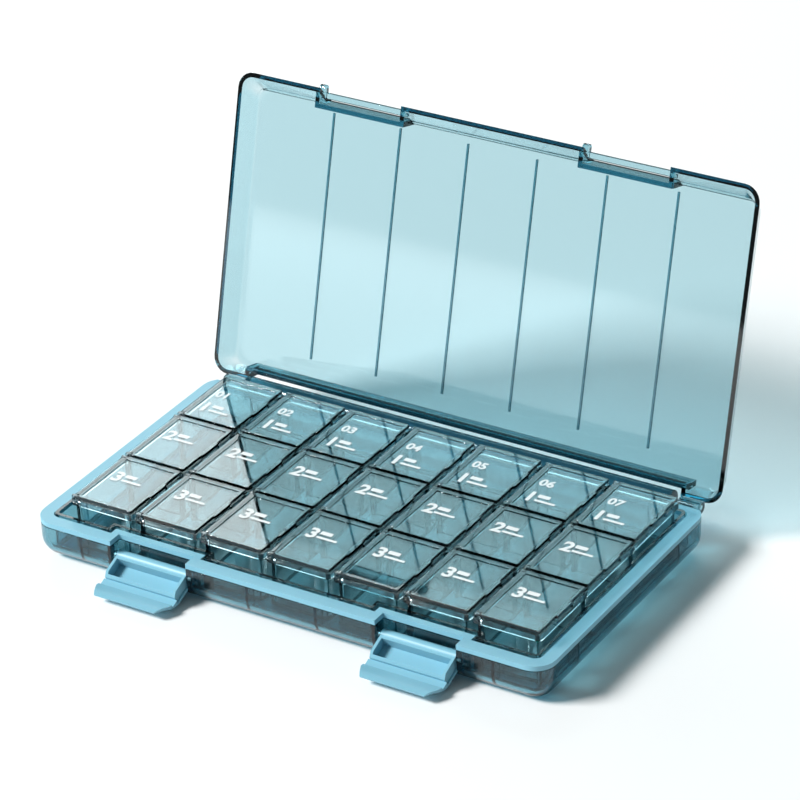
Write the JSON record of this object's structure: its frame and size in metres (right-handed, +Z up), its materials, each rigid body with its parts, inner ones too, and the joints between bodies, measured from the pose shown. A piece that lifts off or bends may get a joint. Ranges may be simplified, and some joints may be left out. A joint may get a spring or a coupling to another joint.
{
  "type": "weekly medicine box",
  "caption": "Flat see-through medicine box: day boxes with small hinged lids stand in a rimmed tub under a big hinged lid held by front latches.",
  "frame": {"origin": "middle of the tub's underside, on the surface that the box stands on", "axes": "+X along the long side, to the right seen from the latches; +Y towards the hinge of the big lid; +Z up"},
  "size_m": [0.2223, 0.178, 0.1329],
  "materials": {
    "teal_shell": "clear tinted polystyrene, polished",
    "blue_rim": "opaque satin polypropylene",
    "clear_box": "clear polystyrene with a faint teal tint",
    "steel_pin": "drawn steel wire"
  },
  "bodies": {
    "tub": {"base_shell": "teal_shell", "rim_frame": "blue_rim", "lid_hinge_pin_left": "steel_pin", "lid_hinge_pin_right": "steel_pin", "latch_pin_left": "steel_pin", "latch_pin_right": "steel_pin"},
    "big_lid": {"big_lid": "teal_shell"},
    "latch_left": {"latch_left": "blue_rim"},
    "latch_right": {"latch_right": "blue_rim"},
    "day_box_1": {"day_box_1": "clear_box"},
    "lid_1_3": {"lid_1_3": "clear_box"},
    "lid_1_2": {"lid_1_2": "clear_box"},
    "lid_1_1": {"lid_1_1": "clear_box"},
    "day_box_2": {"day_box_2": "clear_box"},
    "lid_2_3": {"lid_2_3": "clear_box"},
    "lid_2_2": {"lid_2_2": "clear_box"},
    "lid_2_1": {"lid_2_1": "clear_box"},
    "day_box_3": {"day_box_3": "clear_box"},
    "lid_3_3": {"lid_3_3": "clear_box"},
    "lid_3_2": {"lid_3_2": "clear_box"},
    "lid_3_1": {"lid_3_1": "clear_box"},
    "day_box_4": {"day_box_4": "clear_box"},
    "lid_4_3": {"lid_4_3": "clear_box"},
    "lid_4_2": {"lid_4_2": "clear_box"},
    "lid_4_1": {"lid_4_1": "clear_box"},
    "day_box_5": {"day_box_5": "clear_box"},
    "lid_5_3": {"lid_5_3": "clear_box"},
    "lid_5_2": {"lid_5_2": "clear_box"},
    "lid_5_1": {"lid_5_1": "clear_box"},
    "day_box_6": {"day_box_6": "clear_box"},
    "lid_6_3": {"lid_6_3": "clear_box"},
    "lid_6_2": {"lid_6_2": "clear_box"},
    "lid_6_1": {"lid_6_1": "clear_box"},
    "day_box_7": {"day_box_7": "clear_box"},
    "lid_7_3": {"lid_7_3": "clear_box"},
    "lid_7_2": {"lid_7_2": "clear_box"},
    "lid_7_1": {"lid_7_1": "clear_box"}
  },
  "joints": [
    {"name": "big_lid_hinge", "type": "hinge", "parent": "tub", "child": "big_lid", "pos_m": [0, 0.0611, 0.0154], "axis": [-1, 0, 0], "range_deg": [-105, 0]},
    {"name": "latch_left_hinge", "type": "hinge", "parent": "tub", "child": "latch_left", "pos_m": [-0.0565, -0.0574, 0.0088], "axis": [1, 0, 0], "range_deg": [-112.5, 0]},
    {"name": "latch_right_hinge", "type": "hinge", "parent": "tub", "child": "latch_right", "pos_m": [0.0565, -0.0574, 0.0088], "axis": [1, 0, 0], "range_deg": [-112.5, 0]},
    {"name": "day_box_1_lift", "type": "slide", "parent": "tub", "child": "day_box_1", "axis": [0, 0, 1], "range_m": [0, 0.026]},
    {"name": "lid_1_3_hinge", "type": "hinge", "parent": "day_box_1", "child": "lid_1_3", "pos_m": [-0.0958, -0.0336, 0.0223], "axis": [0, -1, 0], "range_deg": [0, 100]},
    {"name": "lid_1_2_hinge", "type": "hinge", "parent": "day_box_1", "child": "lid_1_2", "pos_m": [-0.0958, 0.0009, 0.0223], "axis": [0, -1, 0], "range_deg": [0, 100]},
    {"name": "lid_1_1_hinge", "type": "hinge", "parent": "day_box_1", "child": "lid_1_1", "pos_m": [-0.0958, 0.0354, 0.0223], "axis": [0, -1, 0], "range_deg": [0, 100]},
    {"name": "day_box_2_lift", "type": "slide", "parent": "tub", "child": "day_box_2", "axis": [0, 0, 1], "range_m": [0, 0.026]},
    {"name": "lid_2_3_hinge", "type": "hinge", "parent": "day_box_2", "child": "lid_2_3", "pos_m": [-0.0673, -0.0336, 0.0223], "axis": [0, -1, 0], "range_deg": [0, 100]},
    {"name": "lid_2_2_hinge", "type": "hinge", "parent": "day_box_2", "child": "lid_2_2", "pos_m": [-0.0673, 0.0009, 0.0223], "axis": [0, -1, 0], "range_deg": [0, 100]},
    {"name": "lid_2_1_hinge", "type": "hinge", "parent": "day_box_2", "child": "lid_2_1", "pos_m": [-0.0673, 0.0354, 0.0223], "axis": [0, -1, 0], "range_deg": [0, 100]},
    {"name": "day_box_3_lift", "type": "slide", "parent": "tub", "child": "day_box_3", "axis": [0, 0, 1], "range_m": [0, 0.026]},
    {"name": "lid_3_3_hinge", "type": "hinge", "parent": "day_box_3", "child": "lid_3_3", "pos_m": [-0.0388, -0.0336, 0.0223], "axis": [0, -1, 0], "range_deg": [0, 100]},
    {"name": "lid_3_2_hinge", "type": "hinge", "parent": "day_box_3", "child": "lid_3_2", "pos_m": [-0.0388, 0.0009, 0.0223], "axis": [0, -1, 0], "range_deg": [0, 100]},
    {"name": "lid_3_1_hinge", "type": "hinge", "parent": "day_box_3", "child": "lid_3_1", "pos_m": [-0.0388, 0.0354, 0.0223], "axis": [0, -1, 0], "range_deg": [0, 100]},
    {"name": "day_box_4_lift", "type": "slide", "parent": "tub", "child": "day_box_4", "axis": [0, 0, 1], "range_m": [0, 0.026]},
    {"name": "lid_4_3_hinge", "type": "hinge", "parent": "day_box_4", "child": "lid_4_3", "pos_m": [-0.0103, -0.0336, 0.0223], "axis": [0, -1, 0], "range_deg": [0, 100]},
    {"name": "lid_4_2_hinge", "type": "hinge", "parent": "day_box_4", "child": "lid_4_2", "pos_m": [-0.0103, 0.0009, 0.0223], "axis": [0, -1, 0], "range_deg": [0, 100]},
    {"name": "lid_4_1_hinge", "type": "hinge", "parent": "day_box_4", "child": "lid_4_1", "pos_m": [-0.0103, 0.0354, 0.0223], "axis": [0, -1, 0], "range_deg": [0, 100]},
    {"name": "day_box_5_lift", "type": "slide", "parent": "tub", "child": "day_box_5", "axis": [0, 0, 1], "range_m": [0, 0.026]},
    {"name": "lid_5_3_hinge", "type": "hinge", "parent": "day_box_5", "child": "lid_5_3", "pos_m": [0.0182, -0.0336, 0.0223], "axis": [0, -1, 0], "range_deg": [0, 100]},
    {"name": "lid_5_2_hinge", "type": "hinge", "parent": "day_box_5", "child": "lid_5_2", "pos_m": [0.0182, 0.0009, 0.0223], "axis": [0, -1, 0], "range_deg": [0, 100]},
    {"name": "lid_5_1_hinge", "type": "hinge", "parent": "day_box_5", "child": "lid_5_1", "pos_m": [0.0182, 0.0354, 0.0223], "axis": [0, -1, 0], "range_deg": [0, 100]},
    {"name": "day_box_6_lift", "type": "slide", "parent": "tub", "child": "day_box_6", "axis": [0, 0, 1], "range_m": [0, 0.026]},
    {"name": "lid_6_3_hinge", "type": "hinge", "parent": "day_box_6", "child": "lid_6_3", "pos_m": [0.0467, -0.0336, 0.0223], "axis": [0, -1, 0], "range_deg": [0, 100]},
    {"name": "lid_6_2_hinge", "type": "hinge", "parent": "day_box_6", "child": "lid_6_2", "pos_m": [0.0467, 0.0009, 0.0223], "axis": [0, -1, 0], "range_deg": [0, 100]},
    {"name": "lid_6_1_hinge", "type": "hinge", "parent": "day_box_6", "child": "lid_6_1", "pos_m": [0.0467, 0.0354, 0.0223], "axis": [0, -1, 0], "range_deg": [0, 100]},
    {"name": "day_box_7_lift", "type": "slide", "parent": "tub", "child": "day_box_7", "axis": [0, 0, 1], "range_m": [0, 0.026]},
    {"name": "lid_7_3_hinge", "type": "hinge", "parent": "day_box_7", "child": "lid_7_3", "pos_m": [0.0752, -0.0336, 0.0223], "axis": [0, -1, 0], "range_deg": [0, 100]},
    {"name": "lid_7_2_hinge", "type": "hinge", "parent": "day_box_7", "child": "lid_7_2", "pos_m": [0.0752, 0.0009, 0.0223], "axis": [0, -1, 0], "range_deg": [0, 100]},
    {"name": "lid_7_1_hinge", "type": "hinge", "parent": "day_box_7", "child": "lid_7_1", "pos_m": [0.0752, 0.0354, 0.0223], "axis": [0, -1, 0], "range_deg": [0, 100]}
  ]
}
